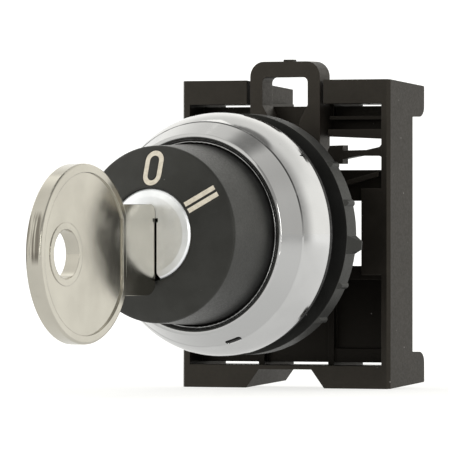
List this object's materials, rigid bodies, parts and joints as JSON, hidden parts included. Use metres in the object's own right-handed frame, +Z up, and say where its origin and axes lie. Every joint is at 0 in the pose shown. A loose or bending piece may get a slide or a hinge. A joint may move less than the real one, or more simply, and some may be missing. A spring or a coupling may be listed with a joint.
{
  "type": "selector key switch",
  "caption": "Panel-mounted two-position key switch with chromed bezel, black collar, removable key and a rear adapter with a release latch.",
  "frame": {"origin": "on the switch's axis, at the rear face of the panel gasket, where the panel's front face lies", "axes": "+Y back through the panel along the switch's axis, +Z up with the 0 mark at the top, +X right as seen by the operator"},
  "size_m": [0.0312, 0.073, 0.0406],
  "materials": {
    "bezel_chrome": "polished chrome plating",
    "seal_rubber": "matte black rubber",
    "gasket_rubber": "matte black rubber",
    "mark_inlay": "cream inlay, satin",
    "collar_plastic": "black, finely eroded texture",
    "body_plastic": "black moulded nylon",
    "lock_zinc": "satin zinc die casting",
    "spring_steel": "drawn spring steel",
    "key_nickel": "nickel plated brass, worn polish",
    "cam_plastic": "natural acetal",
    "screw_steel": "zinc plated steel",
    "plunger_plastic": "red acetal",
    "nut_plastic": "black glass filled nylon",
    "adapter_plastic": "warm black moulded nylon",
    "latch_plastic": "warm black moulded nylon",
    "wafer_brass": "stamped brass"
  },
  "bodies": {
    "housing": {"bezel": "bezel_chrome", "bezel_seal": "seal_rubber", "bezel_trim_ring": "bezel_chrome", "panel_gasket": "gasket_rubber", "position_marks": "mark_inlay", "key_collar": "collar_plastic", "actuator_body": "body_plastic", "lock_shell": "lock_zinc", "detent_spring": "spring_steel", "plunger_guide": "body_plastic", "mounting_nut": "nut_plastic", "adapter_frame": "adapter_plastic", "latch_spring": "spring_steel", "plunger_spring_left": "spring_steel", "plunger_spring_right": "spring_steel"},
    "plug": {"lock_plug": "lock_zinc", "plug_clip": "spring_steel", "cam_rotor": "cam_plastic", "rotor_screw": "screw_steel", "wafer_springs": "spring_steel"},
    "key": {"key": "key_nickel"},
    "wafers": {"lock_wafer_1": "wafer_brass", "lock_wafer_2": "wafer_brass", "lock_wafer_3": "wafer_brass", "lock_wafer_4": "wafer_brass", "lock_wafer_5": "wafer_brass"},
    "plunger_left": {"plunger_left": "plunger_plastic"},
    "plunger_right": {"plunger_right": "plunger_plastic"},
    "latch": {"release_latch": "latch_plastic"}
  },
  "joints": [
    {"name": "key_turn", "type": "hinge", "parent": "housing", "child": "plug", "pos_m": [0, 0, 0], "axis": [0, 1, 0], "range_deg": [0, 60], "deforming": ["detent_spring"]},
    {"name": "key_withdraw", "type": "slide", "parent": "plug", "child": "key", "axis": [0, -1, 0], "range_m": [0, 0.024]},
    {"name": "wafer_rise", "type": "slide", "parent": "plug", "child": "wafers", "axis": [0, 0, 1], "range_m": [0, 0.00081], "deforming": ["wafer_springs"]},
    {"name": "plunger_left_slide", "type": "slide", "parent": "housing", "child": "plunger_left", "axis": [0, 1, 0], "range_m": [0, 0.00301], "deforming": ["plunger_spring_left"]},
    {"name": "plunger_right_slide", "type": "slide", "parent": "housing", "child": "plunger_right", "axis": [0, 1, 0], "range_m": [0, 0.00301], "deforming": ["plunger_spring_right"]},
    {"name": "latch_lift", "type": "slide", "parent": "housing", "child": "latch", "axis": [0, 0, 1], "range_m": [0, 0.0025], "stiffness_N_per_m": 600, "springref_m": -0.001, "deforming": ["latch_spring"]}
  ],
  "couplings": [
    {"joint": "wafer_rise", "follows": "key_withdraw", "ratio": 0.033333},
    {"joint": "plunger_left_slide", "follows": "key_turn", "m_per_rad": 0.0028648},
    {"joint": "plunger_right_slide", "follows": "key_turn", "m_per_rad": 0.0028648}
  ]
}
